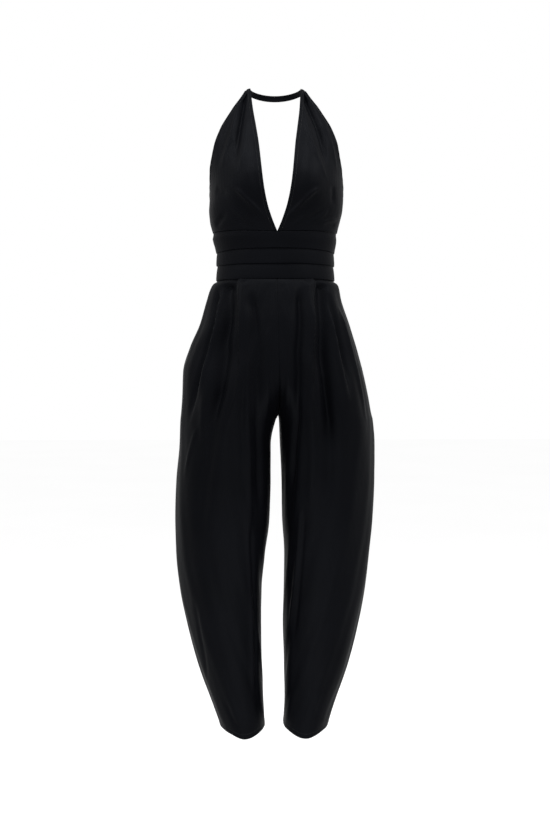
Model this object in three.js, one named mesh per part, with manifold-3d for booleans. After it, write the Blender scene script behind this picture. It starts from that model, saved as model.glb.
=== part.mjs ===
// A black halter jumpsuit with a tucked waistband and pleated, tapered legs, filled out as if worn.
// Millimetres. +Z is up and the front faces -Y. The origin is the middle of the neck strap at the
// nape, where the garment is held up. Left and right are as seen from the front, so left is -X.

import * as THREE from 'three';
import Module from 'manifold-3d';
import { mergeVertices } from 'three/addons/utils/BufferGeometryUtils.js';

const wasm = await Module();
wasm.setup();

// Driving sizes
const CLOTH = 1.5; // wall of the crepe panels
const TUCK_CLOTH = 1.6; // wall of a waistband tuck, which is folded double
const SEAM_GAP = 0.3; // space between two pieces that are sewn together
const MIDDLE = -60.5; // depth of the figure's middle plane, measured from the nape
const WAIST_TOP = -295.5; // seam between bodice and waistband
const TUCK_EDGES = [-334, -365, -396]; // lower folded edge of each tuck
const TUCK_UNDERLAP = 7; // how far a tuck reaches up behind the one above it
const TUCK_LIFT = 3.9; // how far a tuck's lower edge stands off the waist
const TROUSER_TOP = -391; // raw edge of the trousers, behind the lowest tuck
const STEP_OUT = -397; // height below which the trousers puff out from under the tuck
const CROTCH = -672; // where the four leg panels meet
const HEM = -1330; // hem at the side seams
// How much lower the hem's point is at the front of each leg, the height over which that fades, and the
// point's place and breadth across the leg, from 1 at the side seam to -1 at the inseam.
const HEM_POINT = { dip: 12, fade: 240, place: -0.19, breadth: 0.47 };
const RISE_START = 118; // height above the crotch at which the centre seams turn under

// The figure's sizes at the bodice: half width and depths of the section, half width of the neck
// opening, and the angle of the armhole edge, from 0 at the centre front to 180 at the centre back.
const BODICE = [
  { height: 6.3, side: 101, front: -1.2, back: 40, neck: 52.8, armhole: 39.5 },
  { height: 4.6, side: 102, front: 7, back: 42, neck: 52.7, armhole: 39.6 },
  { height: -12, side: 110, front: 24, back: 60, neck: 51, armhole: 42 },
  { height: -44, side: 128, front: 50, back: 80, neck: 47.8, armhole: 46.5 },
  { height: -85, side: 141, front: 77, back: 92, neck: 42, armhole: 55.5 },
  { height: -120, side: 144, front: 91, back: 97, neck: 37, armhole: 64 },
  { height: -153, side: 144, front: 100, back: 99, neck: 33.4, armhole: 72.5 },
  { height: -188, side: 141, front: 104, back: 98, neck: 29.6, armhole: 83 },
  { height: -215, side: 140, front: 104, back: 96, neck: 26, armhole: 93 },
  { height: -245, side: 140, front: 103, back: 94, neck: 20, armhole: 106 },
  { height: -270, side: 138, front: 102, back: 92, neck: 11.5, armhole: 119 },
  { height: -296, side: 132.5, front: 100, back: 90, neck: 0.2, armhole: 133 },
];

// How much higher a panel's tip is at the neck edge than at the armhole edge, and where that begins.
const TIP = { tilt: 6.1, from: -40 };

// Each breast cup is a soft rise over the section.
const CUP = { across: 72, height: -203, rise: 23, aside: 0.25, width: 44, above: 62, below: 46 };

// The waist under the tucks: half width and depths of the section.
const WAIST = [
  { height: -295.5, side: 132.5, front: 100, back: 90 },
  { height: -313, side: 126.8, front: 95.5, back: 86 },
  { height: -334, side: 120.4, front: 91, back: 82.5 },
  { height: -365, side: 120, front: 90, back: 82 },
  { height: -396, side: 120.5, front: 91, back: 83 },
];

// Trouser sections. Outer and inner edges are distances from the middle of the figure to the left and
// to the right, centre is where the centre seams run, and front and back are depths of the section.
const TROUSERS = [
  { height: -391, outLeft: 121.5, outRight: 121.5, centre: 0, front: 92, back: 84 },
  { height: -397, outLeft: 122, outRight: 122, centre: 0, front: 92.5, back: 84.5 },
  { height: -402, outLeft: 129.5, outRight: 129.5, centre: 0, front: 99, back: 90 },
  { height: -408, outLeft: 133.5, outRight: 133, centre: 0, front: 102.5, back: 93 },
  { height: -436, outLeft: 142.5, outRight: 138.5, centre: 0.5, front: 110, back: 101 },
  { height: -486, outLeft: 157, outRight: 155, centre: 1.5, front: 118, back: 116 },
  { height: -536, outLeft: 179, outRight: 170.5, centre: 2.5, front: 122, back: 128 },
  { height: -586, outLeft: 193.5, outRight: 184, centre: 4, front: 123, back: 134 },
  { height: -637, outLeft: 195.5, outRight: 194.5, centre: 5.5, front: 121, back: 131 },
  { height: -672, outLeft: 198, outRight: 200, centre: 6, front: 118, back: 123 },
  { height: -687, outLeft: 199.5, outRight: 203.5, inLeft: 0, inRight: 7.5, front: 116, back: 119 },
  { height: -737, outLeft: 201, outRight: 207, inLeft: 9.5, inRight: 10, front: 112, back: 111 },
  { height: -813, outLeft: 207.5, outRight: 207, inLeft: 9.5, inRight: 13, front: 107, back: 102 },
  { height: -889, outLeft: 210, outRight: 204, inLeft: 12.5, inRight: 14.5, front: 102, back: 96 },
  { height: -964, outLeft: 208, outRight: 197, inLeft: 22, inRight: 18.5, front: 96, back: 92 },
  { height: -1040, outLeft: 199.5, outRight: 187.5, inLeft: 29, inRight: 17.5, front: 90, back: 90 },
  { height: -1115, outLeft: 183, outRight: 173.5, inLeft: 29.5, inRight: 15.5, front: 84, back: 87 },
  { height: -1191, outLeft: 162.5, outRight: 155, inLeft: 28.5, inRight: 18, front: 79, back: 82 },
  { height: -1267, outLeft: 137.5, outRight: 129.5, inLeft: 25.5, inRight: 19, front: 74, back: 76 },
  { height: -1335, outLeft: 115, outRight: 109, inLeft: 22, inRight: 16, front: 70, back: 70 },
].map((row) => ({ centre: 6, inLeft: -6, inRight: 6, ...row }));

// Pleats and large folds of each leg's front: where one starts and ends, in height and across the leg
// from 0 at the side seam to 1 at the centre or inseam, and its half width and depth at both ends.
// A fold with a negative depth stands out as a ridge. A sewn one is caught in the waist seam.
const LEFT_FOLDS = [
  { top: -392, low: -890, at: 0.375, atLow: 0.28, wide: 7, wideLow: 16, deep: 7, deepLow: 11, sewn: true },
  { top: -392, low: -700, at: 0.6, atLow: 0.8, wide: 6, wideLow: 13, deep: 4, deepLow: 8, sewn: true },
  { top: -400, low: -640, at: 0.43, atLow: 0.6, wide: 8, wideLow: 12, deep: -4, deepLow: -6 },
  { top: -570, low: -800, at: 0.58, atLow: 0.43, wide: 12, wideLow: 16, deep: -5, deepLow: -4 },
  { top: -430, low: -680, at: 0.22, atLow: 0.2, wide: 9, wideLow: 12, deep: -5, deepLow: -6 },
  { top: -460, low: -700, at: 0.17, atLow: 0.1, wide: 7, wideLow: 9, deep: 5, deepLow: 8 },
  { top: -780, low: -1300, at: 0.72, atLow: 0.93, wide: 16, wideLow: 9, deep: -4, deepLow: -5 },
];
const RIGHT_FOLDS = [
  { top: -392, low: -890, at: 0.41, atLow: 0.53, wide: 7, wideLow: 17, deep: 7, deepLow: 11, sewn: true },
  { top: -392, low: -720, at: 0.65, atLow: 0.87, wide: 6, wideLow: 12, deep: 5, deepLow: 8, sewn: true },
  { top: -400, low: -860, at: 0.5, atLow: 0.68, wide: 8, wideLow: 14, deep: -4, deepLow: -6 },
  { top: -420, low: -650, at: 0.2, atLow: 0.34, wide: 9, wideLow: 12, deep: -5, deepLow: -5 },
  { top: -450, low: -650, at: 0.18, atLow: 0.22, wide: 7, wideLow: 9, deep: 6, deepLow: 8 },
  { top: -660, low: -1080, at: 0.75, atLow: 0.94, wide: 14, wideLow: 9, deep: -5, deepLow: -4 },
];

// Neck strap: a narrow band round the back of the neck, whose inner face meets the origin. Its tilts are
// from upright to flat, and its lift is the rise from the nape to the sides of the neck.
const STRAP = {
  width: 13,
  halfSpan: 58.5,
  forward: 2,
  reach: 60,
  base: 0.3,
  lift: 6,
  endAngle: 90,
  tiltNape: 12,
  tiltSide: 62,
};

// Concealed zip in the centre back. The tapes lie inside the edges that they close, and the slider's
// neck comes out between them and carries the pull.
const ZIP = { top: -297, low: -520, opening: 0.8, tapeWidth: 11, tapeWall: 1, curve: 130 };
const ZIP_LINE = [
  { height: -297, depth: 87.2 },
  { height: -313, depth: 83.8 },
  { height: -334, depth: 80.2 },
  { height: -365, depth: 79.8 },
  { height: -396, depth: 80.8 },
  { height: -408, depth: 88 },
  { height: -436, depth: 98.3 },
  { height: -486, depth: 113.2 },
  { height: -520, depth: 121.8 },
];
const SLIDER = {
  height: -300,
  width: 5,
  length: 8,
  body: 2.2,
  neck: 0.9,
  neckHeight: 3,
  eye: 1.05,
  eyeRim: 2.1,
};
const EYE_DEPTH = 92.6; // the pull's hinge line, behind the figure's middle plane
const PULL = {
  width: 5.6,
  topWidth: 3.6,
  length: 23,
  plate: 1.2,
  pin: 0.7,
  cheek: 0.8,
  cheekRadius: 1.6,
  play: 0.35,
};

// How many steps each wall is divided into, and how much closer its rows are towards the top.
const COUNT = {
  bodiceRows: 17,
  bodiceColumns: 12,
  strap: 20,
  tuck: 44,
  rise: 18,
  leg: 15,
  legColumns: 12,
  tape: 16,
  curve: 10,
};
const CLOSER = 1.25;
const PLEAT_COLUMNS = { apart: 0.045, clear: 0.03 }; // a pleat's own columns, and the room they need
const SEAM_CALM = 0.04; // share of the leg's width at the side seam over which the folds fade out
const FOLD_REACH = 14; // height over which the direction that a fold moves the cloth in is smoothed

const cloth = new THREE.MeshStandardMaterial({ color: 0x101012, roughness: 0.85, metalness: 0 });
const tape = new THREE.MeshStandardMaterial({ color: 0x0d0d0f, roughness: 0.8, metalness: 0 });
const blackMetal = new THREE.MeshStandardMaterial({ color: 0x161618, roughness: 0.4, metalness: 0.6 });

// A table column's value at a height: smooth between rows and level past the ends.
function valueAt(table, column, height) {
  const last = table.length - 1;
  if (height >= table[0].height) return table[0][column];
  if (height <= table[last].height) return table[last][column];
  const row = table.findIndex((entry) => entry.height < height) - 1;
  const slope = (i) => (table[i + 1][column] - table[i][column]) / (table[i + 1].height - table[i].height);
  const tangent = (i) => {
    if (i === 0 || i === last) return slope(Math.min(i, last - 1));
    const above = slope(i - 1);
    const below = slope(i);
    return above * below > 0 ? (2 * above * below) / (above + below) : 0;
  };
  const step = table[row + 1].height - table[row].height;
  const t = (height - table[row].height) / step;
  const start = table[row][column] * (1 + 2 * t) * (1 - t) ** 2 + tangent(row) * step * t * (1 - t) ** 2;
  return start + table[row + 1][column] * t * t * (3 - 2 * t) + tangent(row + 1) * step * t * t * (t - 1);
}

// Joins closed shapes into one solid.
function union(shapes) {
  const solids = shapes.map((shape) => {
    const bare = shape.clone();
    bare.deleteAttribute('normal');
    bare.deleteAttribute('uv');
    const merged = mergeVertices(bare, 1e-4);
    const vertProperties = new Float32Array(merged.getAttribute('position').array);
    const triVerts = new Uint32Array(merged.index.array);
    return new wasm.Manifold(new wasm.Mesh({ numProp: 3, vertProperties, triVerts }));
  });
  const mesh = solids.reduce((whole, solid) => whole.add(solid)).getMesh();
  const geometry = new THREE.BufferGeometry();
  geometry.setAttribute('position', new THREE.Float32BufferAttribute(mesh.vertProperties, 3));
  geometry.setIndex(Array.from(mesh.triVerts));
  geometry.computeVertexNormals();
  return geometry;
}

const mix = (a, b, t) => a + (b - a) * t;
const clamp = (value, low, high) => Math.min(Math.max(value, low), high);
const radians = THREE.MathUtils.degToRad;
const smooth = THREE.MathUtils.smoothstep;
const steps = (count) => Array.from({ length: count + 1 }, (_, i) => i / count);

// Normal of a surface at one place, from its slopes there. Reach is how far its slope along b is taken.
function normalAt(surface, a, b, reach = 1e-4) {
  const small = 1e-4;
  const alongA = surface(a + small, b).sub(surface(a - small, b));
  const alongB = surface(a, b + reach).sub(surface(a, b - reach));
  return alongA.cross(alongB).normalize();
}

// A closed wall: the outer face follows the surface, and the inner face lies one wall inside it.
// Facing is 1 where the surface's own normal points out of the garment, and -1 where it points in.
function wallGeometry(surface, facing, columns, rows, wall, shift = new THREE.Vector3()) {
  const positions = [];
  const indices = [];
  const width = columns.length;
  const depth = rows.length;
  const layer = width * depth;
  for (const offset of [0, -wall * facing]) {
    for (const row of rows) {
      for (const column of columns) {
        const point = surface(column, row);
        point.addScaledVector(normalAt(surface, column, row), offset).add(shift);
        positions.push(point.x, point.y, point.z);
      }
    }
  }
  const direct = (columns[1] - columns[0]) * (rows[1] - rows[0]) * facing > 0;
  const quad = (p, q, r, s) => indices.push(...(direct ? [p, q, r, p, r, s] : [p, r, q, p, s, r]));
  for (let row = 0; row < depth - 1; row += 1) {
    for (let column = 0; column < width - 1; column += 1) {
      const corner = row * width + column;
      quad(corner, corner + 1, corner + width + 1, corner + width);
      quad(layer + corner, layer + corner + width, layer + corner + width + 1, layer + corner + 1);
    }
  }
  const rim = (p, q) => quad(q, p, layer + p, layer + q);
  for (let column = 0; column < width - 1; column += 1) {
    rim(column, column + 1);
    rim(layer - 1 - column, layer - 2 - column);
  }
  for (let row = 0; row < depth - 1; row += 1) {
    rim((row + 1) * width, row * width);
    rim((row + 1) * width - 1, (row + 2) * width - 1);
  }
  const geometry = new THREE.BufferGeometry();
  geometry.setAttribute('position', new THREE.Float32BufferAttribute(positions, 3));
  geometry.setIndex(indices);
  geometry.computeVertexNormals();
  return geometry;
}

function named(name, geometry, material) {
  const mesh = new THREE.Mesh(geometry, material);
  mesh.name = name;
  return mesh;
}

// Bodice: one panel for each side, from the neck strap down to the waist seam, round under the arm.
function bodiceSurface(side) {
  return (across, height) => {
    const half = valueAt(BODICE, 'side', height);
    const inner = Math.asin(valueAt(BODICE, 'neck', height) / half);
    const angle = mix(inner, radians(valueAt(BODICE, 'armhole', height)), across);
    const depth = angle < Math.PI / 2 ? valueAt(BODICE, 'front', height) : valueAt(BODICE, 'back', height);
    const x = half * Math.sin(angle);
    const spread = CUP[height > CUP.height ? 'above' : 'below'];
    const away = ((x - CUP.across) / CUP.width) ** 2 + ((height - CUP.height) / spread) ** 2;
    const cup = CUP.rise * Math.exp(-away);
    const forward = Math.max(Math.cos(angle), 0);
    const tip = smooth(height, TIP.from, BODICE[0].height) * (0.5 - across) * TIP.tilt;
    return new THREE.Vector3(
      side * (x + CUP.aside * cup * Math.sin(angle)),
      MIDDLE - depth * Math.cos(angle) - cup * forward,
      height + tip,
    );
  };
}

function bodicePanel(side) {
  const surface = bodiceSurface(side);
  const top = BODICE[0].height;
  const low = WAIST_TOP + SEAM_GAP;
  const rows = steps(COUNT.bodiceRows).map((t) => mix(top, low, t ** CLOSER));
  const shift = new THREE.Vector3((side * SEAM_GAP) / 2, 0, 0);
  return wallGeometry(surface, side, steps(COUNT.bodiceColumns), rows, CLOTH, shift);
}

// Neck strap, from the tip of one panel round the back of the neck to the other.
function strapPoint(turn, across) {
  const angle = radians(turn);
  const tilt = radians(mix(STRAP.tiltNape, STRAP.tiltSide, Math.sin(angle) ** 2));
  const outward = new THREE.Vector3(Math.sin(angle), Math.cos(angle), 0);
  const centre = new THREE.Vector3(
    STRAP.halfSpan * Math.sin(angle),
    MIDDLE + STRAP.forward + STRAP.reach * Math.cos(angle),
    STRAP.base + STRAP.lift * Math.sin(angle) ** 2,
  );
  return centre
    .addScaledVector(outward, across * Math.sin(tilt))
    .addScaledVector(new THREE.Vector3(0, 0, -1), across * Math.cos(tilt));
}

function strapGeometry() {
  const turns = steps(COUNT.strap).map((t) => mix(STRAP.endAngle, -STRAP.endAngle, t));
  const across = [-STRAP.width / 2, 0, STRAP.width / 2];
  return wallGeometry(strapPoint, 1, turns, across, CLOTH);
}

// A ring round the waist: turn is 0 at the centre back and grows towards the right side.
function ringPoint(table, turn, height, offset) {
  const side = valueAt(table, 'side', height) + offset;
  const depth = valueAt(table, Math.cos(turn) > 0 ? 'back' : 'front', height) + offset;
  return new THREE.Vector3(side * Math.sin(turn), MIDDLE + depth * Math.cos(turn), height);
}

// One tuck of the waistband, from one side of the zip round the front to the other.
function tuckGeometry(index) {
  const low = TUCK_EDGES[index];
  const top = index === 0 ? WAIST_TOP : TUCK_EDGES[index - 1] + TUCK_UNDERLAP;
  const profile = [
    { down: 0, lift: 0 },
    { down: 0.3, lift: 0.45 },
    { down: 0.62, lift: 0.8 },
    { down: 0.9, lift: 1 },
    { down: 1, lift: 0.94 },
  ];
  const lifts = profile.map((row) => ({ height: mix(top, low, row.down), lift: row.lift * TUCK_LIFT }));
  const surface = (turn, height) => ringPoint(WAIST, turn, height, valueAt(lifts, 'lift', height));
  const start = ZIP.opening / valueAt(WAIST, 'side', low);
  const turns = steps(COUNT.tuck).map((t) => mix(start, 2 * Math.PI - start, t));
  return wallGeometry(surface, -1, turns, lifts.map((row) => row.height), TUCK_CLOTH);
}

// How far the pleats and folds move a point of the leg's front.
function foldDepth(folds, across, height, breadth) {
  let total = 0;
  for (const fold of folds) {
    const along = (fold.top - height) / (fold.top - fold.low);
    if (along < 0 || along > 1) continue;
    const start = fold.sewn ? 1 : smooth(along, 0, 0.3);
    const fade = start * (1 - smooth(along, 0.5, 1));
    const distance = (across - mix(fold.at, fold.atLow, along)) * breadth;
    const width = mix(fold.wide, fold.wideLow, along);
    total += mix(fold.deep, fold.deepLow, along) * fade * Math.exp(-((distance / width) ** 2));
  }
  return total;
}

// One leg with its half of the hips. Across runs from 0 at the side seam to 1 at the centre seam or
// inseam, in even steps as seen from the front. Above the crotch the section is an ellipse that the
// centre plane cuts off. Below it, the section is the whole ellipse.
function legSurface(side, face) {
  const outKey = side < 0 ? 'outLeft' : 'outRight';
  const inKey = side < 0 ? 'inLeft' : 'inRight';
  const folds = side < 0 ? LEFT_FOLDS : RIGHT_FOLDS;
  const plain = (across, height) => {
    const centre = valueAt(TROUSERS, 'centre', height);
    const outer = valueAt(TROUSERS, outKey, height) - side * centre;
    const inner = height < CROTCH ? valueAt(TROUSERS, inKey, height) - side * centre : 0;
    const turned = clamp(1 - (height - CROTCH) / RISE_START, 0, 1);
    const radius = height < CROTCH ? (outer - inner) / 2 : outer / (1 + turned);
    const middle = outer - radius;
    const zipEdge = (ZIP.opening - SEAM_GAP / 2) * smooth(height, ZIP.low, ZIP.low + 30);
    const distance = mix(outer, face === 'back' ? Math.max(inner, zipEdge) : inner, across);
    const cosine = clamp((distance - middle) / radius, -1, 1);
    const sine = Math.sqrt(1 - cosine ** 2);
    const depth = valueAt(TROUSERS, face, height) * sine * (face === 'front' ? -1 : 1);
    const point = face === 'front' ? Math.exp(-(((cosine - HEM_POINT.place) / HEM_POINT.breadth) ** 2)) : 0;
    const dip = HEM_POINT.dip * point * (1 - smooth(height, HEM, HEM + HEM_POINT.fade));
    return new THREE.Vector3(centre + side * distance, MIDDLE + depth, height - dip);
  };
  if (face === 'back') return plain;
  return (across, height) => {
    const breadth = valueAt(TROUSERS, outKey, height);
    const fold = foldDepth(folds, across, height, breadth) * smooth(across, 0, SEAM_CALM);
    const point = plain(across, height);
    const flat = (a, h) => plain(clamp(a, 0.001, 0.999), h);
    const normal = normalAt(flat, clamp(across, 0.002, 0.998), height, FOLD_REACH);
    return point.addScaledVector(normal, side * fold);
  };
}

// Rows are close at the waist seam, where the cloth steps out, and at the crotch.
function legRows() {
  const rise = steps(COUNT.rise).map((t) => mix(STEP_OUT, CROTCH, (1 - Math.cos(Math.PI * t)) / 2));
  const leg = steps(COUNT.leg).map((t) => mix(CROTCH, HEM, t ** CLOSER));
  return [TROUSER_TOP, ...rise, ...leg.slice(1)];
}

// Columns are close at the seams and on both sides of each pleat.
function legColumns(face, side) {
  const even = steps(COUNT.legColumns).map((t) => (1 - Math.cos(Math.PI * t)) / 2);
  if (face === 'back') return even;
  const pleats = (side < 0 ? LEFT_FOLDS : RIGHT_FOLDS).filter((fold) => fold.sewn);
  const { apart, clear } = PLEAT_COLUMNS;
  const close = pleats.flatMap((fold) => [fold.at - apart, fold.at, fold.at + apart]);
  const kept = even.filter((value) => close.every((other) => Math.abs(other - value) > clear));
  return [...kept, ...close].sort((a, b) => a - b);
}

function legPanel(side, face) {
  const facing = face === 'front' ? -side : side;
  const half = SEAM_GAP / 2;
  const shift = new THREE.Vector3(side * half, face === 'front' ? -half : half, 0);
  return wallGeometry(legSurface(side, face), facing, legColumns(face, side), legRows(), CLOTH, shift);
}

// One zip tape, on the inside of the waistband's and the trousers' centre back edge.
function tapeGeometry(side) {
  const surface = (across, height) => {
    const x = ZIP.opening + across * ZIP.tapeWidth;
    const depth = valueAt(ZIP_LINE, 'depth', height) * Math.sqrt(1 - (x / ZIP.curve) ** 2);
    return new THREE.Vector3(valueAt(TROUSERS, 'centre', height) + side * x, MIDDLE + depth, height);
  };
  const rows = steps(COUNT.tape).map((t) => mix(ZIP.top, ZIP.low, t));
  return wallGeometry(surface, -side, steps(2), rows, ZIP.tapeWall);
}

// A flat shape in the YZ plane, made as thick as said along X and centred on it.
function sidePlate(shape, thickness) {
  const settings = { depth: thickness, bevelEnabled: false, curveSegments: COUNT.curve };
  const geometry = new THREE.ExtrudeGeometry(shape, settings);
  geometry.translate(0, 0, -thickness / 2);
  return geometry.applyMatrix4(new THREE.Matrix4().makeBasis(
    new THREE.Vector3(0, 1, 0),
    new THREE.Vector3(0, 0, 1),
    new THREE.Vector3(1, 0, 0),
  ));
}

// Slider: a body inside the tapes, and a neck that ends in an eye outside the waistband.
function sliderGeometry() {
  const tapeDepth = valueAt(ZIP_LINE, 'depth', SLIDER.height - SLIDER.length / 2);
  const inner = tapeDepth - ZIP.tapeWall - SEAM_GAP - SLIDER.body;
  const body = new THREE.BoxGeometry(SLIDER.width, SLIDER.body, SLIDER.length);
  body.translate(0, inner + SLIDER.body / 2, 0);
  const half = SLIDER.neckHeight / 2;
  const reach = Math.asin(half / SLIDER.eyeRim);
  const outline = new THREE.Shape();
  outline.moveTo(inner + SLIDER.body / 2, -half);
  outline.lineTo(EYE_DEPTH - SLIDER.eyeRim * Math.cos(reach), -half);
  outline.absarc(EYE_DEPTH, 0, SLIDER.eyeRim, -Math.PI + reach, Math.PI - reach, false);
  outline.lineTo(inner + SLIDER.body / 2, half);
  outline.closePath();
  outline.holes.push(new THREE.Path().absarc(EYE_DEPTH, 0, SLIDER.eye, 0, 2 * Math.PI, true));
  return union([body, sidePlate(outline, SLIDER.neck)]);
}

// Pull: a tapered tab that hangs from a pin through the slider's eye, between two cheeks.
function pullGeometry() {
  const gap = SLIDER.neck / 2 + PULL.play;
  const pin = new THREE.CylinderGeometry(PULL.pin, PULL.pin, 2 * (gap + PULL.cheek / 2), 12);
  pin.rotateZ(Math.PI / 2);
  const shoulder = SLIDER.eyeRim + PULL.play;
  const parts = [pin];
  for (const side of [-1, 1]) {
    const arm = new THREE.Shape();
    arm.moveTo(PULL.plate / 2, -shoulder - PULL.plate);
    arm.lineTo(PULL.cheekRadius, 0);
    arm.absarc(0, 0, PULL.cheekRadius, 0, Math.PI, false);
    arm.lineTo(-PULL.plate / 2, -shoulder - PULL.plate);
    arm.closePath();
    parts.push(sidePlate(arm, PULL.cheek).translate(side * (gap + PULL.cheek / 2), 0, 0));
  }
  const tab = new THREE.Shape();
  tab.moveTo(-PULL.topWidth / 2, -shoulder);
  tab.lineTo(-PULL.width / 2, -PULL.length + PULL.width / 2);
  tab.absarc(0, -PULL.length + PULL.width / 2, PULL.width / 2, Math.PI, 2 * Math.PI, false);
  tab.lineTo(PULL.topWidth / 2, -shoulder);
  tab.closePath();
  const settings = { depth: PULL.plate, bevelEnabled: false, curveSegments: COUNT.curve };
  const plate = new THREE.ExtrudeGeometry(tab, settings);
  plate.translate(0, 0, -PULL.plate / 2);
  plate.rotateX(Math.PI / 2);
  parts.push(plate);
  return union(parts);
}

const jumpsuit = new THREE.Group();
const sides = { left: -1, right: 1 };
for (const [name, side] of Object.entries(sides)) {
  jumpsuit.add(named(`bodice_${name}`, bodicePanel(side), cloth));
  jumpsuit.add(named(`leg_front_${name}`, legPanel(side, 'front'), cloth));
  jumpsuit.add(named(`leg_back_${name}`, legPanel(side, 'back'), cloth));
}
jumpsuit.add(named('neck_strap', strapGeometry(), cloth));
['top', 'middle', 'bottom'].forEach((name, index) => {
  jumpsuit.add(named(`waist_tuck_${name}`, tuckGeometry(index), cloth));
});

for (const [name, side] of Object.entries(sides)) {
  jumpsuit.add(named(`zip_tape_${name}`, tapeGeometry(side), tape));
}
const slider = named('zip_slider', sliderGeometry(), blackMetal);
slider.position.set(0, MIDDLE, SLIDER.height);
jumpsuit.add(slider);
const pull = named('zip_pull', pullGeometry(), blackMetal);
pull.position.set(0, MIDDLE + EYE_DEPTH, SLIDER.height);
jumpsuit.add(pull);

export default jumpsuit;
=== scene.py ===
import math

import bpy
import numpy as np
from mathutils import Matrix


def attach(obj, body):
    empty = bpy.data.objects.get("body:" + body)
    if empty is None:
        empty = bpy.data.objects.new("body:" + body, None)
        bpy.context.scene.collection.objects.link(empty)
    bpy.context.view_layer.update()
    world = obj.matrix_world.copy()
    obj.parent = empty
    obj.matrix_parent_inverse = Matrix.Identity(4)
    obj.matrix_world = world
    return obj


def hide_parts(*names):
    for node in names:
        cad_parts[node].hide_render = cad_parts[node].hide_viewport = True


# Looks for a black halter jumpsuit with a tucked waistband and pleated, tapered legs. Sizes in the
# tables are millimetres, +Z is up and the front faces -Y. Left is -X, as seen from the front.
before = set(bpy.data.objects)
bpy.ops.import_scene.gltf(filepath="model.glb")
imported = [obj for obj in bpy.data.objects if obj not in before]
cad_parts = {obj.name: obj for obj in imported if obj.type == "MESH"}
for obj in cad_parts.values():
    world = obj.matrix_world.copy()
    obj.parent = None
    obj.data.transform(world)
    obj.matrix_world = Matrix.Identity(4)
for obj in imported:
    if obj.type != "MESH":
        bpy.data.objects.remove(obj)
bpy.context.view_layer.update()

MM = 0.001
MIDDLE = -60.5  # depth of the figure's middle plane
CLOTH = 0.8  # thickness of the crepe
WAIST_TOP = -295.5  # seam between bodice and waistband
TUCK_EDGES = (-334, -365, -396)
TUCK_UNDERLAP = 7
TUCK_LIFT = 3.9
TROUSER_TOP = -391
CROTCH = -672
HEM = -1330
RISE_START = 118  # how far above the crotch the legs begin to part
ZIP_LOW = -520
ZIP_EDGE = 0.65  # half of the slit between the backs over the zip
BODICE_TOP = 6.3
SEAM_SAG = dict(depth=4.3, reach=70)
FULL_TURN = 6.28
CREASE_FADE = dict(start=40, most=0.3, end=90, least=0.6)


def table(columns, *rows):
    """A table with named columns, from its highest row to its lowest."""
    return dict(zip(columns.split(), np.array(rows, float)[::-1].T))


BODICE = table(
    "height side front back neck armhole",
    (6.3, 101, -1.2, 40, 52.8, 39.5),
    (4.6, 102, 7, 42, 52.7, 39.6),
    (-12, 110, 24, 60, 51, 42),
    (-44, 128, 50, 80, 47.8, 46.5),
    (-85, 141, 77, 92, 42, 55.5),
    (-120, 144, 91, 97, 37, 64),
    (-153, 144, 100, 99, 33.4, 72.5),
    (-188, 141, 104, 98, 29.6, 83),
    (-215, 140, 104, 96, 26, 93),
    (-245, 140, 103, 94, 20, 106),
    (-270, 138, 102, 92, 11.5, 119),
    (-296, 132.5, 100, 90, 0.2, 133),
)
TIP_TILT = 6.1
TIP_FROM = -40
CUP = dict(across=72, height=-203, rise=23, aside=0.25, width=44, above=62, below=46)
WAIST = table(
    "height side front back",
    (-295.5, 132.5, 100, 90),
    (-313, 126.8, 95.5, 86),
    (-334, 120.4, 91, 82.5),
    (-365, 120, 90, 82),
    (-396, 120.5, 91, 83),
)
# How much wider than the even form the worn bodice and waist are on each side.
SKEW = table(
    "height left right",
    (-110, 1, 1),
    (-149, 0.988, 0.984),
    (-174, 0.985, 0.993),
    (-200, 0.979, 1.01),
    (-225, 0.985, 1.018),
    (-250, 0.996, 1.007),
    (-276, 0.998, 0.978),
    (-299, 0.988, 0.968),
    (-309, 1.008, 0.984),
    (-322, 1.002, 0.995),
    (-334, 1, 1),
)
TROUSERS = table(
    "height out_left out_right in_left in_right centre front back",
    (-391, 121.5, 121.5, -6, 6, 0, 92, 84),
    (-397, 122, 122, -6, 6, 0, 93.5, 84.5),
    (-402, 129.5, 129.5, -6, 6, 0, 96.5, 90),
    (-408, 133.5, 133, -6, 6, 0, 99, 93),
    (-436, 142.5, 138.5, -6, 6, 0.5, 108, 101),
    (-486, 157, 155, -6, 6, 1.5, 118, 116),
    (-536, 179, 170.5, -6, 6, 2.5, 122, 128),
    (-586, 193.5, 184, -6, 6, 4, 123, 134),
    (-637, 195.5, 194.5, -6, 6, 5.5, 121, 131),
    (-672, 198, 200, -6, 6, 6, 118, 123),
    (-687, 199.5, 203.5, 0, 7.5, 6, 116, 119),
    (-737, 201, 207, 9.5, 10, 6, 112, 111),
    (-813, 207.5, 207, 9.5, 13, 6, 107, 102),
    (-889, 210, 204, 12.5, 14.5, 6, 102, 96),
    (-964, 208, 197, 22, 18.5, 6, 96, 92),
    (-1040, 199.5, 187.5, 29, 17.5, 6, 90, 90),
    (-1115, 183, 173.5, 29.5, 15.5, 6, 84, 87),
    (-1191, 162.5, 155, 28.5, 18, 6, 79, 82),
    (-1267, 137.5, 129.5, 25.5, 19, 6, 74, 76),
    (-1335, 115, 109, 22, 16, 6, 70, 70),
)
HEM_POINT = dict(dip=7, fade=240, place=-0.2, breadth=0.6, rise=9.5)

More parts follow.
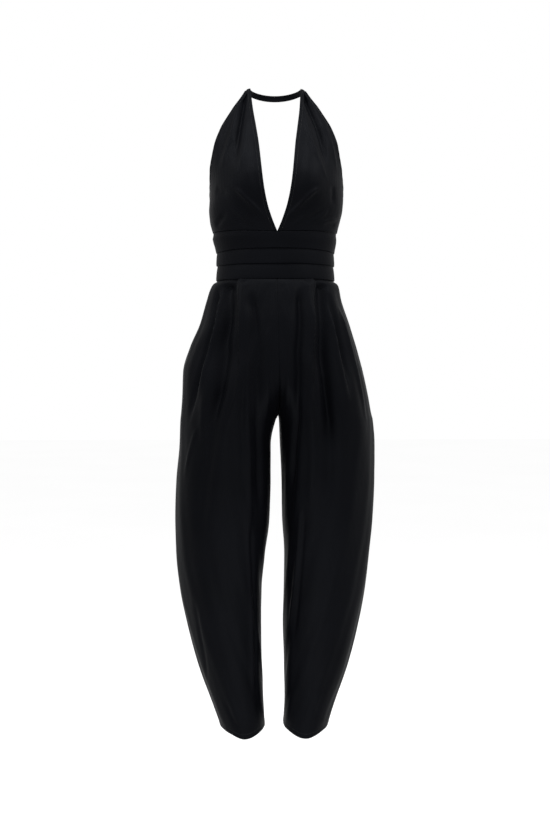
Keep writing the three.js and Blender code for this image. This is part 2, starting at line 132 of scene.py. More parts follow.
# Pleats and large folds of each leg's front, as in the solids: top, low, place across at the top and
# at the low end, half width and depth at both ends, and whether the waist seam holds it.
FOLDS = {
    "left": (
        (-392, -890, 0.375, 0.28, 7, 16, 7, 11, True),
        (-392, -700, 0.6, 0.8, 6, 13, 4, 8, True),
        (-400, -640, 0.43, 0.6, 8, 12, -4, -6, False),
        (-570, -800, 0.58, 0.43, 12, 16, -5, -4, False),
        (-430, -680, 0.22, 0.2, 9, 12, -5, -6, False),
        (-460, -700, 0.17, 0.1, 7, 9, 5, 8, False),
        (-780, -1300, 0.72, 0.93, 16, 9, -4, -5, False),
    ),
    "right": (
        (-392, -890, 0.41, 0.53, 7, 17, 7, 11, True),
        (-392, -720, 0.65, 0.87, 6, 12, 5, 8, True),
        (-400, -860, 0.5, 0.68, 8, 14, -4, -6, False),
        (-420, -650, 0.2, 0.34, 9, 12, -5, -5, False),
        (-450, -650, 0.18, 0.22, 7, 9, 6, 8, False),
        (-660, -1080, 0.75, 0.94, 14, 9, -5, -4, False),
    ),
}

# Finer creases of each leg: half width, depth (negative for a ridge) and path. A path's points are a
# height and a place: 0 at the side seam, 1 at the centre front or inseam, -1 at the back's.
LEFT_CREASES = (
    (14, 13, ((-361, 0.231), (-406, 0.263), (-450, 0.291), (-511, 0.368), (-566, 0.426), (-606, 0.406),
        (-652, 0.361), (-703, 0.358))),
    (12, 4, ((-592, 0.416), (-642, 0.368), (-692, 0.363), (-739, 0.351), (-794, 0.328), (-851, 0.298),
        (-896, 0.273), (-937, 0.256))),
    (8, -3.2, ((-363, 0.441), (-408, 0.481), (-461, 0.534), (-522, 0.581), (-582, 0.607), (-632, 0.566),
        (-682, 0.514))),
    (5.5, -3, ((-441, 0.586), (-502, 0.632), (-582, 0.679), (-662, 0.679), (-744, 0.752), (-825, 0.772),
        (-887, 0.784), (-949, 0.827))),
    (3.5, 1.6, ((-612, 0.627), (-662, 0.619), (-723, 0.672), (-784, 0.684), (-845, 0.704))),
    (9, 5, ((-421, 0.629), (-492, 0.709), (-542, 0.782), (-612, 0.787), (-673, 0.779), (-735, 0.85),
        (-807, 0.865), (-889, 0.89))),
    (5, -1.5, ((-482, 0.88), (-542, 0.88), (-602, 0.87), (-653, 0.87), (-715, 0.912), (-746, 0.915))),
    (3.5, -1.6, ((-417, 0.942), (-462, 0.94), (-522, 0.94), (-582, 0.947))),
    (6.5, 8, ((-407, 0.113), (-449, 0.138), (-500, 0.173), (-545, 0.193), (-584, 0.178), (-615, 0.14),
        (-647, 0.115), (-694, 0.105))),
    (4.5, -3, ((-418, 0.155), (-464, 0.188), (-517, 0.236), (-550, 0.246), (-586, 0.231), (-619, 0.193),
        (-653, 0.158))),
    (4.5, -1.6, ((-683, 0.206), (-710, 0.175), (-745, 0.128), (-786, 0.103), (-817, 0.093))),
    (9, -2, ((-612, 0.253), (-653, 0.241), (-693, 0.251), (-744, 0.248))),
    (4, 2.6, ((-887, 0.789), (-939, 0.822), (-992, 0.867), (-1055, 0.9), (-1118, 0.907), (-1189, 0.9),
        (-1260, 0.877))),
    (4, -2.2, ((-845, 0.744), (-938, 0.789), (-991, 0.832), (-1054, 0.862), (-1116, 0.865),
        (-1187, 0.855), (-1256, 0.825))),
    (6, 2, ((-1041, 0.18), (-1083, 0.173), (-1125, 0.158), (-1156, 0.15), (-1194, 0.128),
        (-1244, 0.055))),
    (9, 0.8, ((-969, 0.782), (-1052, 0.825), (-1135, 0.817), (-1233, 0.774), (-1299, 0.702))),
    (6, 1.5, ((-1253, 0.333), (-1286, 0.333), (-1307, 0.449), (-1312, 0.622))),
    (8, 3, ((-425, -0.1), (-520, -0.15), (-640, -0.12), (-730, -0.06))),
    (9, -2.6, ((-440, -0.22), (-560, -0.27), (-700, -0.24), (-820, -0.2))),
    (4, 2.4, ((-393, -0.46), (-450, -0.48), (-525, -0.52))),
    (13, 4, ((-520, -0.5), (-640, -0.48), (-790, -0.55), (-960, -0.62))),
    (14, -4.4, ((-500, -0.62), (-650, -0.66), (-800, -0.7), (-990, -0.76))),
    (10, 3.2, ((-600, -0.96), (-634, -0.8), (-660, -0.55))),
    (9, 2.4, ((-690, -0.93), (-716, -0.74), (-728, -0.5))),
    (8, 2, ((-975, -0.92), (-1000, -0.66), (-992, -0.38))),
    (8, -1.8, ((-990, -0.9), (-1018, -0.64), (-1012, -0.36))),
    (9, 2.6, ((-1040, -0.35), (-1130, -0.4), (-1240, -0.42))),
    (8, -2, ((-1080, -0.7), (-1180, -0.68), (-1290, -0.66))),
)
RIGHT_CREASES = (
    (12, 12, ((-361, 0.266), (-406, 0.298), (-450, 0.328), (-511, 0.411), (-572, 0.491), (-632, 0.514),
        (-693, 0.534), (-753, 0.526))),
    (12, 3.2, ((-582, 0.489), (-642, 0.506), (-703, 0.536), (-753, 0.536), (-804, 0.529),
        (-865, 0.506))),
    (8, -3.4, ((-362, 0.469), (-420, 0.524), (-481, 0.564), (-542, 0.619), (-602, 0.672), (-663, 0.702),
        (-723, 0.702), (-764, 0.689), (-825, 0.724), (-887, 0.734))),
    (4.5, -2.4, ((-440, 0.481), (-522, 0.584), (-602, 0.649), (-663, 0.672), (-713, 0.667),
        (-764, 0.659))),
    (8, 6.5, ((-410, 0.639), (-461, 0.679), (-512, 0.734), (-562, 0.784), (-612, 0.805), (-663, 0.832),
        (-725, 0.87), (-787, 0.9), (-849, 0.907))),
    (9, 2, ((-746, 0.892), (-808, 0.912), (-870, 0.917), (-932, 0.917), (-985, 0.932), (-1037, 0.937),
        (-1100, 0.945))),
    (4.5, -1.6, ((-451, 0.83), (-512, 0.86), (-558, 0.877), (-602, 0.912), (-647, 0.93),
        (-706, 0.952))),
    (6.5, 8, ((-418, 0.203), (-463, 0.218), (-506, 0.228), (-541, 0.228), (-576, 0.231), (-609, 0.233),
        (-643, 0.243))),
    (4.5, -2.8, ((-418, 0.221), (-451, 0.223), (-492, 0.261), (-535, 0.286), (-582, 0.298),
        (-627, 0.286), (-663, 0.268))),
    (6, -3, ((-448, 0.103), (-489, 0.105), (-531, 0.103), (-572, 0.105), (-617, 0.105), (-660, 0.098),
        (-705, 0.1))),
    (4, -2.4, ((-847, 0.817), (-888, 0.827), (-940, 0.857), (-982, 0.877), (-1035, 0.902),
        (-1088, 0.922), (-1140, 0.93))),
    (5, 2.6, ((-857, 0.787), (-908, 0.799), (-970, 0.825), (-1033, 0.847), (-1096, 0.862),
        (-1158, 0.88))),
    (9, 1, ((-1074, 0.845), (-1157, 0.855), (-1238, 0.84), (-1294, 0.767), (-1314, 0.687))),
    (5, -1.5, ((-1232, 0.416), (-1251, 0.436), (-1273, 0.474), (-1296, 0.514))),
    (6, 1.5, ((-1258, 0.531), (-1283, 0.396), (-1311, 0.18))),
    (8, 2.6, ((-430, -0.08), (-540, -0.13), (-660, -0.1), (-760, -0.05))),
    (9, -2.4, ((-450, -0.2), (-580, -0.25), (-720, -0.21), (-850, -0.2))),
    (4, 2.4, ((-393, -0.44), (-455, -0.46), (-530, -0.5))),
    (13, 3.8, ((-530, -0.46), (-660, -0.5), (-820, -0.52), (-940, -0.6))),
    (14, -4.2, ((-510, -0.6), (-670, -0.64), (-840, -0.72), (-1010, -0.74))),
    (10, 3, ((-608, -0.95), (-640, -0.78), (-662, -0.5))),
    (9, 2.2, ((-696, -0.94), (-724, -0.72), (-738, -0.46))),
    (8, 2.2, ((-960, -0.9), (-984, -0.6), (-972, -0.34))),
    (8, -1.8, ((-978, -0.88), (-1006, -0.6), (-996, -0.3))),
    (9, 2.4, ((-1060, -0.4), (-1150, -0.42), (-1250, -0.4))),
    (8, -2, ((-1100, -0.72), (-1200, -0.7), (-1300, -0.68))),
)
CREASES = {"left": LEFT_CREASES, "right": RIGHT_CREASES}

# Folded edges of the pleats: how far the fold stands up, its reach, and its path.
LEFT_PLEAT_EDGES = (
    (4.2, 12, ((-394, 0.361), (-440, 0.454), (-502, 0.519), (-546, 0.569), (-582, 0.589), (-626, 0.554),
        (-658, 0.506), (-706, 0.476), (-759, 0.431))),
)
RIGHT_PLEAT_EDGES = (
    (4.2, 12, ((-394, 0.376), (-461, 0.501), (-532, 0.586), (-602, 0.644), (-673, 0.662), (-719, 0.657),
        (-764, 0.639), (-814, 0.617))),
)
PLEAT_EDGES = {"left": LEFT_PLEAT_EDGES, "right": RIGHT_PLEAT_EDGES}

# Creases of the bodice. Here a path's points are a height and a distance from the middle. A path may
# start above the panel, so that its crease is deep from the panel's top.
LEFT_BODICE_CREASES = (
    (4.5, -2.6, ((-19, 74.6), (-40, 78.8), (-68, 85), (-102, 93.3), (-129, 101.5), (-153, 107.6),
        (-180, 113.8))),
    (5.5, 9, ((30, 61), (1, 64), (-34, 68.4), (-62, 72.8), (-96, 79.1), (-135, 83.2), (-174, 87.2))),
    (6, 2.4, ((-49, 89.2), (-72, 97.5), (-104, 107.7), (-141, 115.8), (-176, 122.1))),
    (6, -2.2, ((-51, 56.4), (-81, 60.7), (-115, 66.9), (-147, 71.1), (-175, 77.5), (-194, 89.3))),
    (7, 1.8, ((-93, 46.7), (-137, 48.9), (-191, 47.2), (-236, 41), (-263, 33.2))),
    (4.5, -5.2, ((-214, 89.6), (-221, 77.4), (-236, 63.5), (-249, 49.1), (-261, 36.9), (-279, 20.5))),
    (4.5, 1.2, ((-237, 79.1), (-251, 65.1), (-265, 50.8), (-279, 36.9), (-291, 22.7))),
    (4, -1.8, ((-249, 95.4), (-256, 85.4), (-268, 71.2), (-280, 56.9), (-293, 41.2))),
    (4, 1, ((-265, 91.6), (-275, 81.2), (-286, 68.8), (-296, 54.9))),
    (6, 2.6, ((-288, 124.3), (-278, 117.9), (-267, 110), (-260, 99.5))),
    (9, 2, ((-211, 126.2), (-219, 111.8), (-229, 97.4))),
)
RIGHT_BODICE_CREASES = (
    (4.5, -2.8, ((-17, 54.5), (-47, 57.3), (-87, 64.2), (-113, 71.8), (-139, 79.2), (-166, 89.2),
        (-190, 99.7), (-202, 108.5))),
    (6, 10, ((24, 50), (-6, 59.2), (-29, 66.6), (-51, 73.9), (-76, 83.4), (-100, 91), (-124, 94.8),
        (-153, 100.5), (-178, 104.5))),
    (4.5, -2, ((-47, 89), (-65, 96.7), (-94, 106.4), (-123, 114.5), (-149, 120.8), (-180, 125.3))),
    (8, 1.6, ((-92, 53.6), (-136, 54.5), (-180, 47.5), (-220, 41.2), (-249, 33.6))),
    (4.5, -5, ((-213, 90.9), (-219, 75.9), (-229, 63.6), (-243, 49.8), (-257, 35.5), (-271, 21.5),
        (-285, 9.6))),
    (4.5, 1.2, ((-238, 80.7), (-248, 64.2), (-261, 50.3), (-273, 35.9), (-287, 19.8))),
    (4, -1.8, ((-248, 93.7), (-253, 81.3), (-262, 66.5), (-272, 52), (-284, 38), (-295, 23.5))),
    (3.5, -1.8, ((-254, 107.2), (-263, 96.4), (-274, 84), (-283, 69.3))),
    (4, 1, ((-251, 98.4), (-263, 83.3), (-274, 67), (-286, 52.3))),
    (3.5, -1.8, ((-271, 126.3), (-274, 110), (-279, 94.3), (-288, 79.6))),
    (7, 2.4, ((-201, 115.5), (-223, 115.9), (-247, 113.8))),
    (5, 2, ((-284, 121.9), (-284, 108.1), (-291, 92.8))),
)
BODICE_CREASES = {"left": LEFT_BODICE_CREASES, "right": RIGHT_BODICE_CREASES}

# Soft unevenness of the cloth: crossing waves, each with its length across and down, phase and share.
DRAPE = ((41, 420, 0.3, 0.5), (67, -330, 1.9, 0.6), (103, 760, 4.1, 0.8), (24, 250, 2.2, 0.22))
PUCKER = ((9.5, 60, 0.7, 0.5), (14, -45, 2.9, 0.4), (31, 90, 5.0, 0.5))


def value_at(rows, column, height):
    """A table column at these heights: smooth between rows and level past the ends."""
    x = rows["height"]
    y = rows[column]
    slope = np.diff(y) / np.diff(x)
    product = slope[:-1] * slope[1:]
    total = np.where(product > 0, slope[:-1] + slope[1:], 1)
    tangent = np.concatenate([slope[:1], np.where(product > 0, 2 * product / total, 0), slope[-1:]])
    height = np.clip(height, x[0], x[-1])
    i = np.clip(np.searchsorted(x, height, side="right") - 1, 0, len(x) - 2)
    step = x[i + 1] - x[i]
    t = (height - x[i]) / step
    start = y[i] * (1 + 2 * t) * (1 - t) ** 2 + tangent[i] * step * t * (1 - t) ** 2
    return start + y[i + 1] * t * t * (3 - 2 * t) + tangent[i + 1] * step * t * t * (t - 1)


def smooth(x, low, high):
    t = np.clip((x - low) / (high - low), 0, 1)
    return t * t * (3 - 2 * t)


def mix(a, b, t):
    return a + (b - a) * t


def unit(vectors):
    return vectors / np.maximum(np.linalg.norm(vectors, axis=-1, keepdims=True), 1e-9)


def normals(points, facing):
    """Outward normals of a grid of points, rows by columns."""
    across = np.gradient(points, axis=1)
    down = np.gradient(points, axis=0)
    return unit(np.cross(across, down)) * facing


def arc(points):
    """Distance along each row of a grid from its first column."""
    steps = np.linalg.norm(np.diff(points, axis=1), axis=2)
    return np.concatenate([np.zeros((len(points), 1)), np.cumsum(steps, axis=1)], axis=1)


def waves(across, down, rows):
    """Soft uneven relief from crossing waves."""
    total = np.zeros(np.broadcast(across, down).shape)
    for length, fall, phase, share in rows:
        slow = 0.7 + 0.3 * np.sin(down / (3.1 * abs(fall)) * FULL_TURN + 2.3 * phase)
        total += share * slow * np.sin(FULL_TURN * (across / length + down / fall) + phase)
    return total


def rounded(path):
    """A path with its corners cut twice."""
    path = np.array(path, float)
    for _ in range(2):
        near = 0.75 * path[:-1] + 0.25 * path[1:]
        far = 0.25 * path[:-1] + 0.75 * path[1:]
        middle = np.stack([near, far], 1).reshape(-1, 2)
        path = np.concatenate([path[:1], middle, path[-1:]])
    return path


def along_path(across, height, path):
    """Each point's signed distance from a path in the cloth, and how far along the path it lies."""
    path = rounded(path)
    lengths = np.linalg.norm(np.diff(path, axis=0), axis=1)
    before = np.concatenate([[0], np.cumsum(lengths)])
    best = np.full(across.shape, 1e9)
    signed = np.zeros(across.shape)
    along = np.zeros(across.shape)
    for i, length in enumerate(lengths):
        step = (path[i + 1] - path[i]) / max(length, 1e-6)
        u = across - path[i, 0]
        v = height - path[i, 1]
        t = np.clip(u * step[0] + v * step[1], 0, length)
        du = u - t * step[0]
        dv = v - t * step[1]
        distance = np.hypot(du, dv)
        closer = distance < best
        best = np.where(closer, distance, best)
        signed = np.where(closer, distance * np.sign(du * step[1] - dv * step[0]), signed)
        along = np.where(closer, (before[i] + t) / before[-1], along)
    return signed, along, before[-1]


def crease_depth(across, height, rows, place):
    """How far the creases push the cloth in."""
    total = np.zeros(across.shape)
    for wide, deep, path in rows:
        spots = [(place(h, spot), h) for h, spot in path]
        distance, along, length = along_path(across, height, spots)
        start = min(CREASE_FADE["most"], CREASE_FADE["start"] / length)
        end = max(CREASE_FADE["least"], 1 - CREASE_FADE["end"] / length)
        fade = smooth(along, 0, start) * (1 - smooth(along, end, 1))
        total += deep * fade * np.exp(-((distance / wide) ** 2))
    return total


def pleat_lift(across, height, rows, place):
    """How far the pleats' folded edges stand up. The cloth is high on the inner side of the edge."""
    total = np.zeros(across.shape)
    for lift, reach, path in rows:
        spots = [(place(h, spot), h) for h, spot in path]
        distance, along, _ = along_path(across, height, spots)
        fade = 1 - smooth(along, 0.45, 1)
        total += lift * fade * np.tanh(-distance / 1.3) * np.exp(-np.abs(distance) / reach)
    return total


def fold_depth(rows, across, height, breadth):
    """How far the solids' pleats and folds move a point."""
    total = np.zeros(across.shape)
    for top, low, at, at_low, wide, wide_low, deep, deep_low, sewn in rows:
        along = (top - height) / (top - low)
        inside = (along >= 0) & (along <= 1)
        along = np.clip(along, 0, 1)
        start = 1 if sewn else smooth(along, 0, 0.3)
        fade = start * (1 - smooth(along, 0.5, 1)) * inside
        distance = (across - mix(at, at_low, along)) * breadth
        width = mix(wide, wide_low, along)
        total += mix(deep, deep_low, along) * fade * np.exp(-((distance / width) ** 2))
    return total


def named_piece(name, points, faces, material, body="garment"):
    mesh = bpy.data.meshes.new(name)
    mesh.from_pydata((np.asarray(points) * MM).tolist(), [], faces)
    mesh.materials.append(material)
    mesh.shade_smooth()
    mesh.set_sharp_from_angle(angle=math.radians(62))
    piece = bpy.data.objects.new(name, mesh)
    bpy.context.scene.collection.objects.link(piece)
    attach(piece, body)
    return piece


def shell_of(points, facing, wall):
    """Corners and faces of a closed thin wall with a round rim. The grid is its outer face."""
    rows, columns = points.shape[:2]
    inner = points - normals(points, facing) * wall
    grid = np.arange(rows * columns).reshape(rows, columns)
    layer = rows * columns
    ring = np.concatenate([grid[0, :-1], grid[:-1, -1], grid[-1, :0:-1], grid[:0:-1, 0]])
    back = np.concatenate([grid[1, :-1], grid[:-1, -2], grid[-2, :0:-1], grid[:0:-1, 1]])
    flat = points.reshape(-1, 3)
    hidden = inner.reshape(-1, 3)
    outward = unit(flat[ring] - flat[back])
    rim = (flat[ring] + hidden[ring]) / 2 + outward * wall * 0.45
    corners = np.concatenate([flat, hidden, rim])

    def quads(a, b, c, d):
        order = (a, b, c, d) if facing > 0 else (a, d, c, b)
        return np.stack([np.ravel(x) for x in order], 1)

    own = np.arange(len(ring)) + 2 * layer
    after = np.roll(own, -1)
    next_ring = np.roll(ring, -1)
    faces = [
        quads(grid[:-1, :-1], grid[:-1, 1:], grid[1:, 1:], grid[1:, :-1]),
        quads(*(layer + x for x in (grid[:-1, :-1], grid[1:, :-1], grid[1:, 1:], grid[:-1, 1:]))),
        quads(ring, own, after, next_ring),
        quads(own, layer + ring, layer + next_ring, after),
    ]
    return corners, np.concatenate(faces).tolist()


def cloth_piece(name, points, facing, material, replaced, wall=CLOTH):
    corners, faces = shell_of(points, facing, wall)
    piece = named_piece(name, corners, faces, material)
    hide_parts(*replaced)
    return piece


# Materials


def new_material(name):
    material = bpy.data.materials.new(name)
    material.use_nodes = True
    nodes = material.node_tree.nodes
    links = material.node_tree.links
    return material, nodes, links, nodes["Principled BSDF"]


def linked(links, pairs):
    for source, target in pairs:
        links.new(source, target)


def noise(nodes, links, coordinates, scale, detail, roughness=0.5):
    node = nodes.new("ShaderNodeTexNoise")
    node.inputs["Scale"].default_value = scale
    node.inputs["Detail"].default_value = detail
    node.inputs["Roughness"].default_value = roughness
    links.new(coordinates, node.inputs["Vector"])
    return node.outputs["Fac"]


def ramp(nodes, links, value, low, high, dark, light):
    node = nodes.new("ShaderNodeValToRGB")
    node.color_ramp.elements[0].position = low
    node.color_ramp.elements[1].position = high
    node.color_ramp.elements[0].color = (*dark, 1)
    node.color_ramp.elements[1].color = (*light, 1)
    links.new(value, node.inputs["Fac"])
    return node.outputs["Color"]


def span(nodes, links, value, low, high):
    node = nodes.new("ShaderNodeMapRange")
    node.inputs["To Min"].default_value = low
    node.inputs["To Max"].default_value = high
    links.new(value, node.inputs["Value"])
    return node.outputs["Result"]


def wave(nodes, links, coordinates, direction, scale, distortion):
    node = nodes.new("ShaderNodeTexWave")
    node.bands_direction = direction
    node.inputs["Scale"].default_value = scale
    node.inputs["Distortion"].default_value = distortion
    node.inputs["Detail"].default_value = 1
    links.new(coordinates, node.inputs["Vector"])
    return node.outputs["Fac"]


def bump(nodes, links, value, strength, distance, under=None):
    node = nodes.new("ShaderNodeBump")
    node.inputs["Strength"].default_value = strength
    node.inputs["Distance"].default_value = distance
    links.new(value, node.inputs["Height"])
    if under is not None:
        links.new(under, node.inputs["Normal"])
    return node.outputs["Normal"]


def crepe_material():
    """Black crepe: a fine pebbled weave, soft sheen, and slow changes of tone and roughness."""
    material, nodes, links, shader = new_material("black_crepe")
    place = nodes.new("ShaderNodeTexCoord").outputs["Object"]
    tone = noise(nodes, links, place, 9, 3)
    pebble = noise(nodes, links, place, 950, 4, 0.62)
    crinkle = noise(nodes, links, place, 260, 3)
    warp = wave(nodes, links, place, "X", 330, 1.2)
    weft = wave(nodes, links, place, "Z", 300, 1.4)
    weave = nodes.new("ShaderNodeMath")
    weave.operation = "MULTIPLY"
    linked(links, ((warp, weave.inputs[0]), (weft, weave.inputs[1])))
    colour = ramp(nodes, links, tone, 0.3, 0.72, (0.001, 0.0011, 0.0017), (0.0017, 0.00185, 0.0027))
    grain = ramp(nodes, links, pebble, 0.35, 0.7, (0.72, 0.72, 0.72), (1, 1, 1))
    blend = nodes.new("ShaderNodeMix")
    blend.data_type = "RGBA"
    blend.blend_type = "MULTIPLY"
    blend.inputs["Factor"].default_value = 0.6
    linked(links, ((colour, blend.inputs["A"]), (grain, blend.inputs["B"])))
    relief = bump(nodes, links, crinkle, 0.18, 0.0006)
    relief = bump(nodes, links, weave.outputs[0], 0.25, 0.0002, relief)
    relief = bump(nodes, links, pebble, 0.4, 0.00025, relief)
    rough = span(nodes, links, tone, 0.48, 0.6)
    linked(links, (
        (blend.outputs["Result"], shader.inputs["Base Color"]),
        (rough, shader.inputs["Roughness"]),
        (relief, shader.inputs["Normal"]),
    ))
    shader.inputs["Specular IOR Level"].default_value = 0.038
    shader.inputs["Specular Tint"].default_value = (0.86, 0.91, 1, 1)
    shader.inputs["Sheen Weight"].default_value = 0.005
    shader.inputs["Sheen Roughness"].default_value = 0.4
    shader.inputs["Sheen Tint"].default_value = (0.75, 0.78, 0.9, 1)
    return material


def tape_material():
    """Zip tape: a ribbed narrow weave in black polyester."""
    material, nodes, links, shader = new_material("zip_tape_weave")
    place = nodes.new("ShaderNodeTexCoord").outputs["Object"]
    rib = wave(nodes, links, place, "Z", 420, 0.4)
    fine = noise(nodes, links, place, 1300, 2)
    colour = ramp(nodes, links, fine, 0.3, 0.7, (0.002, 0.002, 0.0023), (0.004, 0.004, 0.0045))
    relief = bump(nodes, links, rib, 0.5, 0.0002)
    linked(links, (
        (colour, shader.inputs["Base Color"]),
        (span(nodes, links, fine, 0.6, 0.8), shader.inputs["Roughness"]),
        (relief, shader.inputs["Normal"]),
    ))
    shader.inputs["Specular IOR Level"].default_value = 0.07
    return material


def thread_material():
    """Twisted black sewing thread, a little glossier than the cloth."""
    material, nodes, links, shader = new_material("black_thread")
    place = nodes.new("ShaderNodeTexCoord").outputs["Object"]
    twist = wave(nodes, links, place, "DIAGONAL", 900, 0.5)
    colour = ramp(nodes, links, twist, 0.2, 0.8, (0.004, 0.004, 0.0045), (0.01, 0.01, 0.011))
    linked(links, (
        (colour, shader.inputs["Base Color"]),
        (bump(nodes, links, twist, 0.5, 0.0001), shader.inputs["Normal"]),
    ))
    shader.inputs["Roughness"].default_value = 0.5
    shader.inputs["Specular IOR Level"].default_value = 0.25
    return material


def metal_material():
    """Black enamel over metal, with fine scratches and the enamel rubbed at a few places."""
    material, nodes, links, shader = new_material("black_enamel")
    place = nodes.new("ShaderNodeTexCoord").outputs["Object"]
    wear = noise(nodes, links, place, 420, 5, 0.6)
    scratch = noise(nodes, links, place, 2600, 2)
    colour = ramp(nodes, links, wear, 0.62, 0.8, (0.009, 0.009, 0.01), (0.03, 0.03, 0.031))
    linked(links, (
        (colour, shader.inputs["Base Color"]),
        (span(nodes, links, wear, 0.24, 0.42), shader.inputs["Roughness"]),
        (bump(nodes, links, scratch, 0.12, 0.00005), shader.inputs["Normal"]),
    ))
    shader.inputs["Metallic"].default_value = 0.35
    return material


def floor_material():
    material, nodes, links, shader = new_material("pale_floor")
    place = nodes.new("ShaderNodeTexCoord").outputs["Object"]
    cloud = noise(nodes, links, place, 1.2, 2)
    colour = ramp(nodes, links, cloud, 0.3, 0.7, (0.975, 0.975, 0.975), (0.985, 0.985, 0.985))
    links.new(colour, shader.inputs["Base Color"])
    shader.inputs["Roughness"].default_value = 1
    shader.inputs["Specular IOR Level"].default_value = 0
    return material


crepe = crepe_material()
tape_weave = tape_material()
thread = thread_material()
enamel = metal_material()


# Bodice: one panel for each side, with a turned edge along the neck opening and the armhole.


def seam_sag(points):
    """How far the waist seam hangs lower in the middle of the front than at the sides."""
    sag = SEAM_SAG["depth"] * np.exp(-((points[..., 0] / SEAM_SAG["reach"]) ** 2))
    return sag * (points[..., 1] < MIDDLE)


def bodice_point(side, across, height):
    half = value_at(BODICE, "side", height)
    skew = value_at(SKEW, "left" if side < 0 else "right", height)
    inner = np.arcsin(value_at(BODICE, "neck", height) / half)
    angle = mix(inner, np.radians(value_at(BODICE, "armhole", height)), across)
    front = value_at(BODICE, "front", height)
    back = value_at(BODICE, "back", height)
    depth = np.where(angle < math.pi / 2, front, back)
    x = half * np.sin(angle)
    spread = np.where(height > CUP["height"], CUP["above"], CUP["below"])
    away = ((x - CUP["across"]) / CUP["width"]) ** 2 + ((height - CUP["height"]) / spread) ** 2
    cup = CUP["rise"] * np.exp(-away)
    forward = np.maximum(np.cos(angle), 0)
    tip = smooth(height, TIP_FROM, BODICE_TOP) * (0.5 - across) * TIP_TILT
    return np.stack([
        side * (x * mix(1, skew, smooth(across, 0.2, 0.9)) + CUP["aside"] * cup * np.sin(angle)),
        MIDDLE - depth * np.cos(angle) - cup * forward,
        height + tip,
    ], -1)


# The turned edge in section: distance from the edge along the cloth, and how far it stands proud.
EDGE = ((0, -0.35), (0.5, 0.15), (1.3, 0.5), (3.2, 0.72), (5.4, 0.5), (6.4, -0.28), (7.4, 0.12))
# The part that is turned in behind it: distance from the edge, and how far inside the face it lies.
TURNED = ((8, 1.95), (4.5, 2.0), (1.4, 1.95), (0.3, 1.25))
STITCH_COLUMN = 5  # the column of the edge's groove
# The seam allowance below the waist seam: how far inside the face, and how far down.
ALLOWANCE = ((1.3, 0.1), (2.7, 1.6), (4.9, 8.5))
BODICE_RELIEF = dict(drape=0.55, slant=0.2, pucker=0.16, seam=0.25, seam_reach=3)


def bodice_panel(name, side):
    rows = 150
    middle = 70
    crowding = 1.12  # the rows lie closer together towards the point at the neck
    height = mix(BODICE_TOP, WAIST_TOP - 0.3, np.linspace(0, 1, rows) ** crowding)[:, None]
    even = bodice_point(side, np.linspace(0, 1, 60)[None, :], height)
    width = arc(even)[:, -1:]
    room = np.minimum(1, width / (2.4 * EDGE[-1][0]))
    near = np.array([place for place, _ in EDGE])[None, :] * room / width
    inside = np.linspace(0, 1, middle + 2)[1:-1][None, :]
    inside = near[:, -1:] + inside * (1 - 2 * near[:, -1:])
    across = np.concatenate([near, inside, 1 - near[:, ::-1]], 1)
    height = np.broadcast_to(height, across.shape)
    points = bodice_point(side, across, height)
    facing = -side
    face = normals(points, facing)
    along = arc(points)

    def place(h, x):
        row = int(np.argmin(np.abs(height[:, 0] - min(h, 0))))
        front = points[row, :, 1] < MIDDLE - 4
        xs = np.abs(points[row, front, 0])
        return float(np.interp(x, xs, along[row, front]))

    calm = smooth(np.minimum(along, along[:, -1:] - along), 1, 10)
    calm = calm * smooth(height, WAIST_TOP - 2, WAIST_TOP + 16)
    depth = crease_depth(along, height, BODICE_CREASES[name], place)
    slant = BODICE_RELIEF["slant"]
    depth += BODICE_RELIEF["drape"] * waves(along * (1 - slant) + slant * height, height, DRAPE)
    depth += BODICE_RELIEF["pucker"] * waves(along, height, PUCKER)
    above = (height - WAIST_TOP) / BODICE_RELIEF["seam_reach"]
    seam = BODICE_RELIEF["seam"] * np.exp(-(above ** 2))
    edge = np.array([lift for _, lift in EDGE])[None, :] * np.minimum(1, room)
    proud = np.concatenate([edge, np.zeros((rows, middle)), edge[:, ::-1]], 1)
    puckers = 1 + 0.25 * np.sin(height / 2.7 + 0.6 * np.sin(height / 11)) * (proud != 0)
    points = points + face * (proud * puckers - depth * calm - seam)[..., None]

    # The turned edge behind, and the seam allowance that goes down behind the waistband.
    share = np.array([back for back, _ in TURNED])[None, :] * room / width
    inset = np.array([deep for _, deep in TURNED])[None, :, None]
    tall = np.broadcast_to(height[:, :1], share.shape)
    first = bodice_point(side, share, tall)
    last = bodice_point(side, 1 - share[:, ::-1], tall)
    first_face = face[:, :1]
    last_face = face[:, -1:]
    first = first - first_face * inset
    last = last - last_face * inset[:, ::-1]
    points = np.concatenate([first, points, last], 1)
    points[..., 2] -= seam_sag(points) * smooth(-height[:, :1], 235, -WAIST_TOP)
    ends = [[edge_face[-1:]] * len(TURNED) for edge_face in (first_face, last_face)]
    outward = np.concatenate([*ends[0], face[-1:], *ends[1]], 1)
    flange = [points[-1:] - outward * inward + np.array([0, 0, -drop]) for inward, drop in ALLOWANCE]
    points = np.concatenate([points, *flange], 0)
    piece = cloth_piece(f"bodice_cloth_{name}", points, facing, crepe, [f"bodice_{name}"])
    stitched = len(TURNED) + STITCH_COLUMN
    lines = [(points[2:rows - 1, stitched], face[2:rows - 1, STITCH_COLUMN])]
    lines.append((points[2:rows - 1, -1 - stitched], face[2:rows - 1, -1 - STITCH_COLUMN]))
    return piece, lines


# Waistband: three tucks, each a doubled fold that stands off at its lower edge.


def ring_point(turn, height, offset):
    skew = np.where(np.sin(turn) < 0, value_at(SKEW, "left", height), value_at(SKEW, "right", height))
    side = value_at(WAIST, "side", height) * skew + offset
    front = value_at(WAIST, "front", height)
    back = value_at(WAIST, "back", height)
    depth = np.where(np.cos(turn) > 0, back, front) + offset
    return np.stack([side * np.sin(turn), MIDDLE + depth * np.cos(turn), height + 0 * turn], -1)


